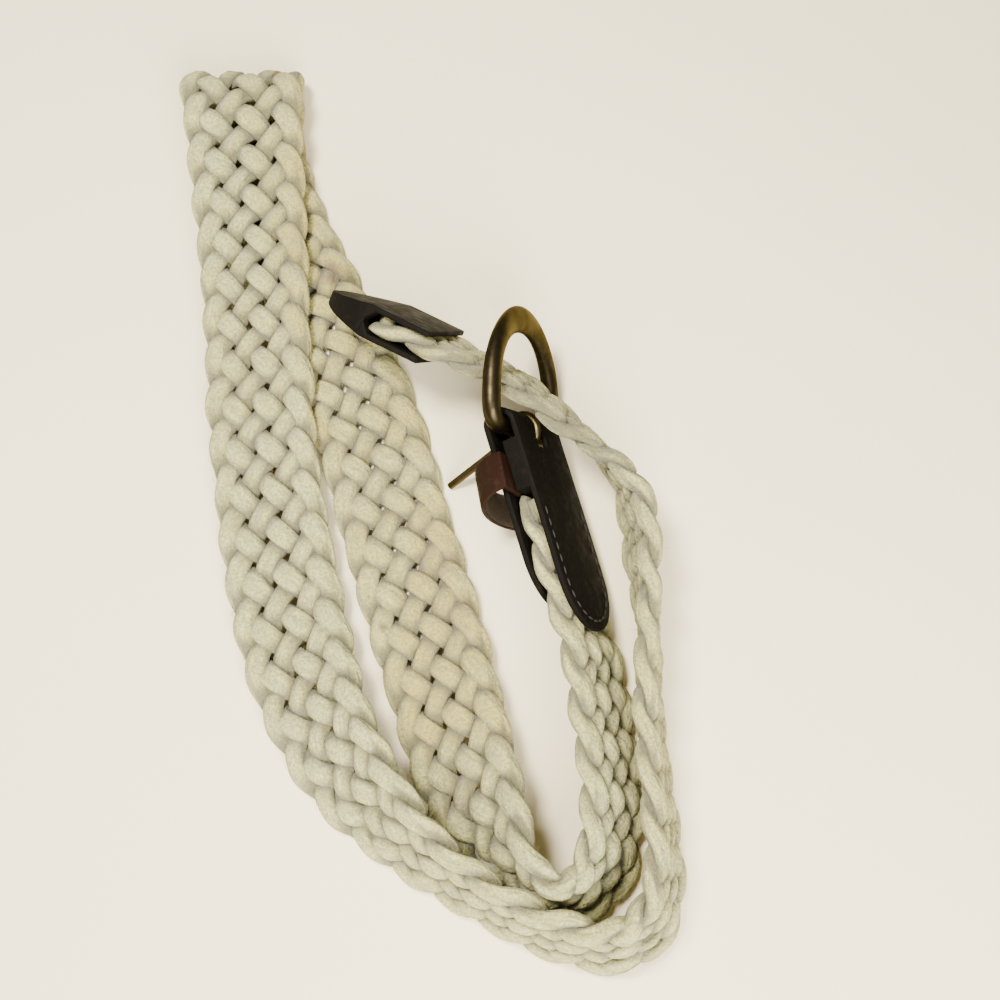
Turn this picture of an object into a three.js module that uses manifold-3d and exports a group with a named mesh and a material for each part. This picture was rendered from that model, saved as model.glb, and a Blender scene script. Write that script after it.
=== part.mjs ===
// Woven cotton belt, lying folded on a flat surface with its tip drawn through its own buckle.
// Millimetres, +Z up, the surface at Z = 0. The belt's front faces up on the long upper run.
import * as THREE from 'three';
import { mergeVertices } from 'three/addons/utils/BufferGeometryUtils.js';
import Module from 'manifold-3d';

const wasm = await Module();
wasm.setup();

// Driving dimensions
const strapThickness = 5.5;
const strapHalfWidth = 16;
const spanSteps = 3;            // sections between two rows of the route
const sectionEndSteps = 4;      // facets of each rounded edge of the strap
const leafGap = 0.35;           // between the strap and a leather leaf
const leafThickness = 1.6;
const tipLength = 35;
const tipHalfWidth = 16.6;
const tipNoseLength = 19;       // rounded end of the tip
const tipShoulder = 17;         // where the tip reaches its full thickness
const tipSeamLength = 16.5;     // where the two leaves are joined
const tipSeamThickness = 3.6;
const tipSeamHalfGap = 0.3;     // where the leaves part at the end of the seam
const tipEdgeBevel = 0.8;
const tipStrapStart = 19.5;     // from the tip's end to the strap's end inside it
const tabLength = 59;
const tabFrontShorter = 8;      // the front leaf ends before the back one
const tabHalfWidth = 15.5;
const tabNoseLength = 15;       // rounded end of the tab
const tabStrapStart = 17;       // from the bar to the strap's other end, before it is cut
const strapEndGap = 0.6;        // the strap's end is cut along the keeper's side
const tabFillerLength = 13.6;   // leather between the leaves, behind the keeper
const tabFillerTop = 0.8;
const tabFillerGap = 0.45;      // to the strap's end
const slotHalfWidth = 3.4;      // opening in the tab's fold for the prong
const slotLength = 6.5;
const cutMargin = 1;            // how far a cutting body runs past what it cuts
const leafCutDepth = 40;
const keeperMiddle = 16.8;      // from the bar
const keeperSlant = 14;         // degrees, its lower side further from the bar
const keeperWidth = 10.5;
const keeperThickness = 1.4;
const keeperHalfSpan = 17.8;    // inside the loop
const keeperReach = 11.8;       // height of the arch inside the loop
const keeperArchSteps = 16;
const barRadius = 2.6;
const railHalfSpacing = 20.5;
const railHalfWidth = 2.6;
const frameReach = 31;          // from the bar to the middle of the outer end
const frameStraight = 9;        // straight part of each rail
const endHalfWidth = 4;         // the outer end is wide and flat
const endHalfThickness = 1.9;
const frameCornerRadius = 5;
const frameSides = 12;          // facets round the frame's section
const frameCornerSteps = 4;
const frameArchSteps = 20;
const frameBarSteps = 4;
const prongRingRadius = 4.4;    // middle of the ring's wire
const prongWireRadius = 1.25;
const prongTipRadius = 1.1;
const prongLength = 30.5;
const prongHeading = 206;       // degrees in plan, from +X
const prongPitch = -41;         // degrees above the level
const prongSides = 8;
const prongSections = 8;
const prongRingSteps = 20;
const weldDistance = 1e-4;      // closer corners are one corner

// Where the belt's middle lies in the coordinates of the tables below
const layoutMiddle = new THREE.Vector3(-25.1, 4.65, 0);

const rad = THREE.MathUtils.degToRad;
const vec = (x, y, z) => new THREE.Vector3(x, y, z);
const heading = (degrees, tilt) => vec(
  Math.cos(rad(tilt)) * Math.cos(rad(degrees)),
  Math.cos(rad(tilt)) * Math.sin(rad(degrees)),
  Math.sin(rad(tilt)),
);

// A place with its own axes: along (u), across (v) and outwards from the back (n)
function place(origin, toward, acrossHeading, acrossTilt) {
  const u = toward.clone().sub(origin).normalize();
  const across = heading(acrossHeading, acrossTilt);
  const v = across.addScaledVector(u, -across.dot(u)).normalize();
  const n = new THREE.Vector3().crossVectors(u, v);
  const at = (along, side = 0, out = 0) => origin.clone()
    .addScaledVector(u, along).addScaledVector(v, side).addScaledVector(n, out);
  return { origin, u, v, n, at, acrossHeading, acrossTilt };
}
const tipPlace = place(vec(-47.2, 54.9, 21.4), vec(-16.5, 38.3, 23.0), 241, 62);
const tabPlace = place(vec(6.2, 14.0, 21.1), vec(23.2, -43.5, 17.0), 209, 62.5);

// The keeper hangs a little askew; a box drawn in its own axes is (across, out, along)
const keeperMatrix = new THREE.Matrix4().makeBasis(
  tabPlace.v.clone().applyAxisAngle(tabPlace.n, rad(keeperSlant)),
  tabPlace.n,
  tabPlace.u.clone().applyAxisAngle(tabPlace.n, rad(keeperSlant)),
).setPosition(tabPlace.at(keeperMiddle));
function boxBesideKeeper(halfAcross, outFrom, outTo, alongFrom, alongTo) {
  const box = new THREE.BoxGeometry(2 * halfAcross, outTo - outFrom, alongTo - alongFrom);
  box.translate(0, (outFrom + outTo) / 2, (alongFrom + alongTo) / 2);
  return box.applyMatrix4(keeperMatrix);
}

// From the bar to the frame's outer end, square to the bar
const frameToward = vec(-0.02, 0.964, 0.265);
const frameAlong = frameToward.clone()
  .addScaledVector(tabPlace.v, -frameToward.dot(tabPlace.v)).normalize();

// The strap's route, a row for each section: its middle, and the direction of its width,
// given as a heading in plan from +X and a tilt above the level
const lyingRoute = [
  { name: 'through the frame', x: 4.8, y: 26.6, z: 24.5, heading: 230, tilt: 64 },
  { name: 'past the frame', x: 18.2, y: 16.6, z: 21.2, heading: 230, tilt: 67 },
  { name: 'right side bend', x: 27.4, y: 9.6, z: 18.0, heading: 225, tilt: 74 },
  { name: 'right side bend', x: 34.4, y: 1.4, z: 16.6, heading: 215, tilt: 84 },
  { name: 'right side bend', x: 37.9, y: -10.0, z: 16.2, heading: 195, tilt: 94 },
  { name: 'right side', x: 39.1, y: -24.0, z: 16.2, heading: 180, tilt: 91 },
  { name: 'right side', x: 40.0, y: -40.0, z: 16.1, heading: 180, tilt: 83 },
  { name: 'right side', x: 39.4, y: -60.0, z: 16.0, heading: 180, tilt: 79 },
  { name: 'right side', x: 40.8, y: -82.0, z: 15.8, heading: 180, tilt: 76 },
  { name: 'right side', x: 42.0, y: -99.0, z: 15.7, heading: 174, tilt: 73 },
  { name: 'near corner', x: 40.6, y: -112.0, z: 15.2, heading: 145, tilt: 67 },
  { name: 'near corner', x: 33.0, y: -120.2, z: 15.1, heading: 115, tilt: 66 },
  { name: 'near side', x: 21.4, y: -120.4, z: 15.5, heading: 88, tilt: 71 },
  { name: 'near side', x: 8.6, y: -116.2, z: 15.6, heading: 68, tilt: 72 },
  { name: 'near side', x: -5.0, y: -109.0, z: 15.5, heading: 63, tilt: 71 },
  { name: 'near side', x: -18.0, y: -100.2, z: 15.0, heading: 56, tilt: 65 },
  { name: 'turning down', x: -30.2, y: -89.2, z: 13.5, heading: 46, tilt: 53 },
  { name: 'turning down', x: -40.6, y: -77.0, z: 11.3, heading: 34, tilt: 39 },
  { name: 'turning down', x: -49.6, y: -61.5, z: 9.2, heading: 24, tilt: 28 },
  { name: 'upper run', x: -56.2, y: -44.0, z: 6.4, heading: 18, tilt: 14 },
  { name: 'upper run', x: -62.6, y: -18.0, z: 5.6, heading: 14, tilt: 10 },
  { name: 'upper run', x: -68.4, y: 14.0, z: 6.5, heading: 8, tilt: 10 },
  { name: 'upper run', x: -71.8, y: 50.0, z: 8.0, heading: 3, tilt: 8 },
  { name: 'upper run', x: -75.2, y: 84.0, z: 9.9, heading: 3, tilt: 2, widen: 0.6 },
  { name: 'rising to the fold', x: -78.2, y: 112.0, z: 12.6, heading: 2, tilt: 0, widen: 1.8 },
  { name: 'far fold', x: -79.9, y: 127.5, z: 13.4, heading: 2, tilt: 0, widen: 2.6 },
  { name: 'far fold', x: -80.5, y: 134.6, z: 8.3, heading: 2, tilt: 0, widen: 2.6 },
  { name: 'far fold', x: -80.3, y: 127.5, z: 2.9, heading: 2, tilt: 0, widen: 2 },
  { name: 'lower run', x: -78.5, y: 114.0, z: 2.75, heading: 10, tilt: 0, widen: 0.6 },
  { name: 'lower run', x: -71.5, y: 93.0, z: 2.75, heading: 20, tilt: 0 },
  { name: 'lower run', x: -60.6, y: 68.0, z: 2.75, heading: 25, tilt: 0 },
  { name: 'lower run', x: -48.4, y: 44.0, z: 2.75, heading: 25, tilt: 0 },
  { name: 'lower run', x: -37.6, y: 18.0, z: 2.75, heading: 21, tilt: 0 },
  { name: 'lower run', x: -28.8, y: -12.0, z: 2.75, heading: 16, tilt: 0 },
  { name: 'rising on edge', x: -20.7, y: -38.0, z: 3.9, heading: 16, tilt: 5, widen: -0.5 },
  { name: 'rising on edge', x: -14.2, y: -60.0, z: 6.4, heading: 18, tilt: 16, widen: -0.6 },
  { name: 'rising on edge', x: -8.8, y: -77.6, z: 9.2, heading: 22, tilt: 29, widen: -0.3 },
  { name: 'rising on edge', x: -3.2, y: -92.4, z: 12.4, heading: 32, tilt: 45 },
  { name: 'near turn', x: 3.2, y: -102.4, z: 14.7, heading: 46, tilt: 63 },
  { name: 'near turn', x: 9.6, y: -108.8, z: 15.1, heading: 72, tilt: 69 },
  { name: 'near turn', x: 17.0, y: -110.7, z: 14.8, heading: 108, tilt: 65 },
  { name: 'near turn', x: 24.0, y: -106.8, z: 14.5, heading: 146, tilt: 62 },
  { name: 'inner side', x: 28.2, y: -98.5, z: 14.6, heading: 168, tilt: 60 },
  { name: 'inner side', x: 29.6, y: -84.0, z: 14.6, heading: 180, tilt: 60 },
  { name: 'inner side', x: 27.9, y: -68.0, z: 15.1, heading: 182, tilt: 60 },
  { name: 'inner side', x: 25.8, y: -54.0, z: 16.1, heading: 193, tilt: 61 },
];
const straightRow = (where, along) => {
  const { x, y, z } = where.at(along);
  return { x, y, z, heading: where.acrossHeading, tilt: where.acrossTilt };
};
const tipStations = [tipStrapStart, 28, 37];          // from the tip's end
const tabStations = [62, 48, 31, tabStrapStart];      // from the bar
const route = [
  ...tipStations.map((along) => straightRow(tipPlace, along)),
  ...lyingRoute,
  ...tabStations.map((along) => straightRow(tabPlace, along)),
];

// Centripetal Catmull-Rom through the rows, all columns on the same knots
const columns = (row) => [row.x, row.y, row.z, row.heading, row.tilt, row.widen ?? 0];
function samplesAlong(rows, steps) {
  const points = rows.map(columns);
  const mirrored = (end, next) => end.map((value, i) => 2 * value - next[i]);
  const last = points.length - 1;
  const padded = [
    mirrored(points[0], points[1]), ...points, mirrored(points[last], points[last - 1]),
  ];
  const mix = (a, b, from, to, t) => a.map((v, i) => ((to - t) * v + (t - from) * b[i]) / (to - from));
  const knot = (a, b) => Math.sqrt(Math.hypot(b[0] - a[0], b[1] - a[1], b[2] - a[2]));
  const samples = [];
  for (let span = 0; span < last; span += 1) {
    const [p0, p1, p2, p3] = padded.slice(span, span + 4);
    const k1 = knot(p0, p1);
    const k2 = k1 + knot(p1, p2);
    const k3 = k2 + knot(p2, p3);
    for (let step = 0; step < steps; step += 1) {
      const t = k1 + (k2 - k1) * step / steps;
      const a = mix(p0, p1, 0, k1, t);
      const b = mix(p1, p2, k1, k2, t);
      const c = mix(p2, p3, k2, k3, t);
      samples.push(mix(mix(a, b, 0, k2, t), mix(b, c, k1, k3, t), k1, k2, t));
    }
  }
  samples.push(points[last]);
  return samples;
}

// A closed body through rings of equally many points; with no caps the last ring meets the first
function loft(rings, capped = true) {
  const perRing = rings[0].length;
  const positions = rings.flat().flatMap((p) => [p.x, p.y, p.z]);
  const index = [];
  const spans = capped ? rings.length - 1 : rings.length;
  for (let r = 0; r < spans; r += 1) {
    const next = ((r + 1) % rings.length) * perRing;
    for (let k = 0; k < perRing; k += 1) {
      const a = r * perRing + k;
      const b = r * perRing + (k + 1) % perRing;
      const c = next + (k + 1) % perRing;
      const d = next + k;
      index.push(a, b, c, a, c, d);
    }
  }
  if (capped) {
    const lastRing = (rings.length - 1) * perRing;
    for (let k = 1; k < perRing - 1; k += 1) {
      index.push(0, k + 1, k);
      index.push(lastRing, lastRing + k, lastRing + k + 1);
    }
  }
  const geometry = new THREE.BufferGeometry();
  geometry.setAttribute('position', new THREE.Float32BufferAttribute(positions, 3));
  geometry.setIndex(index);
  return geometry;
}

function solid(geometry) {
  const bare = geometry.clone();
  bare.deleteAttribute('normal');
  bare.deleteAttribute('uv');
  const merged = mergeVertices(bare, weldDistance);
  return new wasm.Manifold(new wasm.Mesh({
    numProp: 3,
    vertProperties: merged.attributes.position.array,
    triVerts: new Uint32Array(merged.index.array),
  }));
}
function geometryOf(manifold) {
  const mesh = manifold.getMesh();
  const geometry = new THREE.BufferGeometry();
  geometry.setAttribute('position', new THREE.BufferAttribute(new Float32Array(mesh.vertProperties), 3));
  geometry.setIndex(new THREE.BufferAttribute(new Uint32Array(mesh.triVerts), 1));
  return geometry;
}

// Section of the strap: flat faces and round edges, run anticlockwise seen along the strap
function strapSection(halfWidth, halfThickness) {
  const flat = halfWidth - halfThickness;
  const points = [];
  for (const side of [1, -1]) {
    for (let k = 0; k <= sectionEndSteps; k += 1) {
      const angle = -Math.PI / 2 + Math.PI * k / sectionEndSteps;
      points.push([
        side * (flat + halfThickness * Math.cos(angle)),
        side * halfThickness * Math.sin(angle),
      ]);
    }
    points.push([0, side * halfThickness]);
  }
  return points;
}
function strapGeometry() {
  const halfThickness = strapThickness / 2;
  const samples = samplesAlong(route, spanSteps);
  const middles = samples.map(([x, y, z]) => vec(x, y, z));
  const rings = samples.map((row, i) => {
    const before = middles[Math.max(i - 1, 0)];
    const after = middles[Math.min(i + 1, middles.length - 1)];
    const along = after.clone().sub(before).normalize();
    const across = heading(row[3], row[4]);
    across.addScaledVector(along, -across.dot(along)).normalize();
    const out = new THREE.Vector3().crossVectors(along, across);
    const halfWidth = strapHalfWidth + row[5];
    const middle = middles[i].clone();
    const resting = halfThickness + (halfWidth - halfThickness) * Math.abs(across.z);
    middle.z = Math.max(middle.z, resting);
    return strapSection(halfWidth, halfThickness).map(([side, up]) => middle
      .clone().addScaledVector(across, side).addScaledVector(out, up));
  });
  const cutSide = strapHalfWidth + leafCutDepth / 4;
  const cutTop = halfThickness + cutMargin;
  const cut = boxBesideKeeper(
    cutSide, -cutTop, cutTop, -keeperMiddle, keeperWidth / 2 + strapEndGap,
  );
  return geometryOf(solid(loft(rings)).subtract(solid(cut)));
}

// Two leather leaves drawn as a side profile, then cut to the outline of the leaf.
// Both are drawn along (u); the profile's second axis is n and the outline's is v.
function leather(where, profile, outline, halfWidth, filler = null) {
  const across = new THREE.ExtrudeGeometry(profile, { depth: 2 * halfWidth, bevelEnabled: false });
  const acrossMatrix = new THREE.Matrix4().makeBasis(where.u, where.n, where.v.clone().negate())
    .setPosition(where.at(0, halfWidth, 0));
  across.applyMatrix4(acrossMatrix);
  const face = new THREE.ExtrudeGeometry(outline, { depth: leafCutDepth, bevelEnabled: false });
  const faceMatrix = new THREE.Matrix4().makeBasis(where.u, where.v, where.n)
    .setPosition(where.at(0, 0, -leafCutDepth / 2));
  face.applyMatrix4(faceMatrix);
  const layers = filler ? solid(across).add(solid(filler)) : solid(across);
  return layers.intersect(solid(face));
}
const innerFace = strapThickness / 2 + leafGap;
const outerFace = innerFace + leafThickness;

// A row for each corner of the tip's side profile on one face; the other face mirrors it
const tipProfile = [
  { name: 'end of the seam', along: tipSeamLength, out: tipSeamHalfGap },
  { name: 'beside the strap', along: tipStrapStart - 2 * tipSeamHalfGap, out: innerFace },
  { name: 'open end, inside', along: tipLength, out: innerFace },
  { name: 'open end, outside', along: tipLength, out: outerFace },
  { name: 'shoulder', along: tipShoulder, out: outerFace },
  { name: 'nose', along: tipEdgeBevel, out: tipSeamThickness / 2 },
  { name: 'edge of the nose', along: 0, out: tipSeamThickness / 2 - tipEdgeBevel },
];
function tipGeometry() {
  const upper = tipProfile.map(({ along, out }) => new THREE.Vector2(along, out));
  const lower = tipProfile.map(({ along, out }) => new THREE.Vector2(along, -out)).reverse();
  const profile = new THREE.Shape([...upper, ...lower]);
  const outline = new THREE.Shape();
  outline.moveTo(tipLength, -tipHalfWidth);
  outline.lineTo(tipLength, tipHalfWidth);
  outline.lineTo(tipNoseLength, tipHalfWidth);
  outline.absellipse(tipNoseLength, 0, tipNoseLength, tipHalfWidth, Math.PI / 2, 1.5 * Math.PI);
  return geometryOf(leather(tipPlace, profile, outline, tipHalfWidth));
}

function tabGeometry() {
  const profile = new THREE.Shape();
  profile.moveTo(tabLength, outerFace);
  profile.lineTo(0, outerFace);
  profile.absarc(0, 0, outerFace, Math.PI / 2, 1.5 * Math.PI);
  profile.lineTo(tabLength, -outerFace);
  profile.lineTo(tabLength, -innerFace);
  profile.lineTo(0, -innerFace);
  profile.absarc(0, 0, innerFace, 1.5 * Math.PI, Math.PI / 2, true);
  profile.lineTo(tabLength, innerFace);
  const outline = new THREE.Shape();
  const foldEnd = -outerFace - cutMargin;
  outline.moveTo(foldEnd, -tabHalfWidth);
  outline.lineTo(tabLength - tabNoseLength, -tabHalfWidth);
  outline.absellipse(
    tabLength - tabNoseLength, 0, tabNoseLength, tabHalfWidth, -Math.PI / 2, Math.PI / 2,
  );
  outline.lineTo(foldEnd, tabHalfWidth);
  const fillerEnd = keeperWidth / 2 + strapEndGap - tabFillerGap;
  const filler = boxBesideKeeper(
    tabHalfWidth + leafCutDepth / 4, -innerFace - leafThickness / 2, tabFillerTop,
    fillerEnd - tabFillerLength, fillerEnd,
  );
  const leaves = leather(tabPlace, profile, outline, tabHalfWidth, filler);
  const nose = tabLength - tabFrontShorter - tabNoseLength;
  const beyond = tabLength + cutMargin;
  const side = tabHalfWidth + cutMargin;
  const trim = new THREE.Shape();
  trim.moveTo(nose, side);
  trim.lineTo(beyond, side);
  trim.lineTo(beyond, -side);
  trim.lineTo(nose, -side);
  trim.lineTo(nose, -tabHalfWidth);
  trim.absellipse(nose, 0, tabNoseLength, tabHalfWidth, -Math.PI / 2, Math.PI / 2);
  const front = new THREE.ExtrudeGeometry(trim, {
    depth: outerFace + cutMargin, bevelEnabled: false,
  });
  front.applyMatrix4(new THREE.Matrix4().makeBasis(tabPlace.u, tabPlace.v, tabPlace.n)
    .setPosition(tabPlace.origin));
  const slotDepth = 2 * (outerFace + cutMargin);
  const slot = new THREE.BoxGeometry(slotLength - foldEnd, 2 * slotHalfWidth, slotDepth);
  slot.translate((slotLength + foldEnd) / 2, 0, 0);
  slot.applyMatrix4(new THREE.Matrix4().makeBasis(tabPlace.u, tabPlace.v, tabPlace.n)
    .setPosition(tabPlace.origin));
  return geometryOf(leaves.subtract(solid(slot)).subtract(solid(front)));
}

// The keeper is a closed band round the front leaf: a flat run between the two leaves,
// and an arch on the front
function keeperGeometry() {
  const back = innerFace - leafGap;
  const loop = (grow, path) => {
    path.moveTo(-keeperHalfSpan - grow, back - grow);
    path.lineTo(keeperHalfSpan + grow, back - grow);
    path.absellipse(0, back, keeperHalfSpan + grow, keeperReach + grow, 0, Math.PI);
    return path;
  };
  const band = loop(keeperThickness, new THREE.Shape());
  band.holes.push(loop(0, new THREE.Path()));
  const geometry = new THREE.ExtrudeGeometry(band, {
    depth: keeperWidth, bevelEnabled: false, curveSegments: keeperArchSteps,
  });
  geometry.translate(0, 0, -keeperWidth / 2);
  geometry.applyMatrix4(keeperMatrix);
  return geometryOf(solid(geometry));
}

// The frame's middle line: the bar, two corners, two rails and an arched outer end
function framePath() {
  const corner = (side, from, to) => {
    const points = [];
    for (let k = 0; k <= frameCornerSteps; k += 1) {
      const angle = rad(from + (to - from) * k / frameCornerSteps);
      points.push({
        side: side * (railHalfSpacing - frameCornerRadius) + frameCornerRadius * Math.cos(angle),
        along: frameCornerRadius + frameCornerRadius * Math.sin(angle),
        flat: 0,
      });
    }
    return points;
  };
  const arch = [];
  for (let k = 0; k <= frameArchSteps; k += 1) {
    const angle = Math.PI * k / frameArchSteps;
    arch.push({
      side: railHalfSpacing * Math.cos(angle),
      along: frameStraight + (frameReach - frameStraight) * Math.sin(angle),
      flat: Math.sin(angle) ** 2,
    });
  }
  const bar = [];
  for (let k = 1; k < frameBarSteps; k += 1) {
    const share = 2 * k / frameBarSteps - 1;
    bar.push({ side: share * (railHalfSpacing - frameCornerRadius), along: 0, flat: 0 });
  }
  return [...bar, ...corner(1, -90, 0), ...arch, ...corner(-1, 180, 270)];
}
function frameGeometry() {
  const path = framePath();
  const out = new THREE.Vector3().crossVectors(tabPlace.v, frameAlong);
  const at = (p) => tabPlace.origin.clone()
    .addScaledVector(tabPlace.v, p.side).addScaledVector(frameAlong, p.along);
  const rings = path.map((p, i) => {
    const before = at(path[(i + path.length - 1) % path.length]);
    const after = at(path[(i + 1) % path.length]);
    const along = after.sub(before).normalize();
    const inwards = new THREE.Vector3().crossVectors(out, along);
    const halfWidth = railHalfWidth + (endHalfWidth - railHalfWidth) * p.flat;
    const halfThickness = barRadius + (endHalfThickness - barRadius) * p.flat;
    const ring = [];
    for (let k = 0; k < frameSides; k += 1) {
      const angle = 2 * Math.PI * (k + 0.5) / frameSides;
      ring.push(at(p).addScaledVector(inwards, halfWidth * Math.cos(angle))
        .addScaledVector(out, halfThickness * Math.sin(angle)));
    }
    return ring;
  });
  return loft(rings, false);
}

// The prong is a pin on a loose ring round the bar; the pin tapers and dips at its point
function prongGeometry() {
  const ring = new THREE.TorusGeometry(
    prongRingRadius, prongWireRadius, prongSides, prongRingSteps,
  );
  const pinDirection = heading(prongHeading, prongPitch);
  const ringMatrix = new THREE.Matrix4()
    .makeBasis(tabPlace.u, new THREE.Vector3().crossVectors(tabPlace.v, tabPlace.u), tabPlace.v)
    .setPosition(tabPlace.origin);
  ring.applyMatrix4(ringMatrix);
  const side = new THREE.Vector3().crossVectors(pinDirection, tabPlace.v).normalize();
  const up = new THREE.Vector3().crossVectors(pinDirection, side);
  const rings = [];
  for (let s = 0; s <= prongSections; s += 1) {
    const share = s / prongSections;
    const reach = prongRingRadius + (prongLength - prongRingRadius) * share;
    const radius = prongWireRadius + (prongTipRadius - prongWireRadius) * share;
    const middle = tabPlace.origin.clone().addScaledVector(pinDirection, reach);
    const section = [];
    for (let k = 0; k < prongSides; k += 1) {
      const angle = 2 * Math.PI * k / prongSides;
      section.push(middle.clone().addScaledVector(side, radius * Math.cos(angle))
        .addScaledVector(up, radius * Math.sin(angle)));
    }
    rings.push(section);
  }
  return geometryOf(solid(ring).add(solid(loft(rings))));
}

const cotton = new THREE.MeshStandardMaterial({ color: 0xddd8bf, roughness: 0.95, metalness: 0 });
const blackLeather = new THREE.MeshStandardMaterial({ color: 0x1d1814, roughness: 0.55, metalness: 0 });
const brownLeather = new THREE.MeshStandardMaterial({ color: 0x3d1a12, roughness: 0.5, metalness: 0 });
const brass = new THREE.MeshStandardMaterial({ color: 0x8a6d33, roughness: 0.35, metalness: 1 });

const group = new THREE.Group();
function piece(name, geometry, material) {
  const mesh = new THREE.Mesh(geometry, material);
  mesh.name = name;
  mesh.position.copy(layoutMiddle).negate();
  group.add(mesh);
}
piece('woven_strap', strapGeometry(), cotton);
piece('strap_tip', tipGeometry(), blackLeather);
piece('buckle_tab', tabGeometry(), blackLeather.clone());
piece('keeper_loop', keeperGeometry(), brownLeather);
piece('buckle_frame', frameGeometry(), brass);
piece('prong', prongGeometry(), brass.clone());

export default group;
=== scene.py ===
"""A woven cotton belt with leather ends and a brass D buckle, lying folded on a pale surface."""
import math

import bpy
import numpy as np
from mathutils import Matrix, Vector


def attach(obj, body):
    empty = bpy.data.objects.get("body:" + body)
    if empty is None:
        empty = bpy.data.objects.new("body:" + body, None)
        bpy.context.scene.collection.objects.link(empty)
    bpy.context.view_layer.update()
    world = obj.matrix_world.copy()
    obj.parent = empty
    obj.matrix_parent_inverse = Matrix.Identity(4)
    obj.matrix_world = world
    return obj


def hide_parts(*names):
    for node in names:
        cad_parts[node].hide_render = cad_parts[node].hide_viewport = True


bl_info = {
    "name": "Woven Belt",
    "version": (1, 0, 0),
    "blender": (4, 5, 0),
    "location": "View3D > Sidebar > Woven Belt",
    "description": "Braided cotton strap, leather tab, keeper and tip, brass buckle and stage",
    "category": "Object",
}

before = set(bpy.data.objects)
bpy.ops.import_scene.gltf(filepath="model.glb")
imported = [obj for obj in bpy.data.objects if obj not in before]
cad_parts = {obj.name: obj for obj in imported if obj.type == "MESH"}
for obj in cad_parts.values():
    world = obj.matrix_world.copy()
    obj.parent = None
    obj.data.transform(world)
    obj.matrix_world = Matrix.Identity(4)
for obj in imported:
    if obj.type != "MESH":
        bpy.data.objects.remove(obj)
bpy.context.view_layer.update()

MM = 0.001
ROOT = "belt"
LAYOUT_MIDDLE = Vector((-25.1, 4.65, 0.0))  # the place in the layout that is the frame's origin

# All sizes in millimetres, unless a line says otherwise
STRAP_HALF_THICKNESS = 2.75
STRAP_HALF_WIDTH = 16.0
STRAP_STEP = 1.4        # from ring to ring of a cord
ROUTE_STEPS = 24        # points worked out between two rows of the route

CORDS = 7
CORD_SIDES = 20
CROSSINGS = 14          # places in one period of a cord: two edges and twelve crossings
EDGE_INSET = 2.75       # from the strap's edge to the middle of the cord that rolls round it
EDGE_CORD = 2.6         # that cord reaches this far in
EDGE_RELIEF = 1.2       # how high it counts on the scale by which shade is painted into the hollows
CORD_FLOOR = 0.02       # the lowest that a cord comes
CORD_END_GAP = 0.8      # from the keeper's side to the ends of the cords
PLIES = 4
PLY_SWELL = 0.06        # how far a ply stands out, as a share of the cord's width
PLY_PITCH = 30          # length in which a ply twists round to the next one's place
PLY_START = 1.7         # how far that wave is ahead from one cord to the next, in radians
LANE_SPACING = 7.3      # keeps the streaks of two cords apart
TUBE_MERGE = 1e-6       # metres; closer points of a rolled grid are one

# Shares of a cord's own width, lift or thickness
WIDER_ONE_WAY = 0.08    # where it crosses a face in the direction that lies on top
HIGHER_ONE_WAY = 0.22
WIDER_BY_EDGE = 0.05    # one crossing away from the strap's edge
THICKER_AT_EDGE = 0.25
EDGE_TURN = 1.3         # crossings from the edge in which a cord gets flat again

# Unevenness of the braid: how much, first seed, wave
WAVE_SHARES = (1.0, 0.62, 0.37)     # an uneven line is made of three waves
UNEVEN_LIFT = (0.10, 40, 23)
UNEVEN_WIDTH = (0.07, 0, 19)
UNEVEN_REACH = (0.45, 20, 37)

BETWEEN_LEAVES = 0.9    # how far the braid is pressed flat between two leather leaves
PRESSED_IN_TIP = 14     # from the strap's start to where that begins to fade in the tip
PRESSED_IN_TAB = 30     # from the strap's end to where it begins to fade in the tab
PRESSED_FADE = 10       # length in which it fades
IN_BUCKLE = 0.85        # how far the braid is pressed flat where it runs through the buckle
BUCKLE_SQUEEZE = 1.5    # how much nearer its edge cords lie there
BUCKLE_REACH = 24       # from the bar to where both begin to fade
BUCKLE_FADE = 12        # length in which they fade

FIBRE_FLOOR = 0.12      # the lowest that a fibre comes
FIBRES_FROM = 38        # no fibre stands this near to the bar, where the frame and prong turn
FIBRE_ENDS = (30, 45)   # steps of the strap without fibres at its start and at its end
FIBRE_RADII = (0.055, 0.018)    # at its root and at its tip
FIBRES_ON_EDGES = 0.6   # share of the fibres that stand on the strap's edges
FIBRE_FAN = 0.9         # radians up or down that those on an edge lean at most
EDGE_ROOTS = (0.9, 1.6)     # how far in from the edge they stand, and how far up or down
FACE_ROOTS = (0.85, 2.3)    # share of the half width that the others cover, and how far out
FACE_RISE = 0.8         # how steeply those leave the face
FIBRE_LEAN = 1.1        # how strongly fibres lean along the strap
FIBRE_SPREAD = 0.35     # and any way
FIBRE_REACH = (0.6, 1.8)    # shortest and longest, before they are spread by a power
FIBRE_REACH_POWER = 1.6
FIBRE_CURL = 0.45       # share of the reach
FIBRE_POINTS = 4

OUTER_FACE = 4.7        # from the middle of the strap to a leaf's outer face
BACK_LEAF = 59          # length from the bar
FRONT_LEAF = 51
LEAF_HALF_WIDTH = 15.5
LEAF_NOSE = 15          # length of a leaf's rounded end
STITCHES_FROM = 24      # from the bar to the first stitch
STITCH_HALF_WIDTH = 0.33
STITCH_HALF_HEIGHT = 0.28
STITCH_HALF_LENGTH = 0.36       # share of the pitch
INSIDE_KEEPER = (16, 0, 8)      # a place in the middle of the loop, along, across and out
NODE_MERGE = 3e-7       # metres; more than this would close up the thinnest faces of a node

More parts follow.
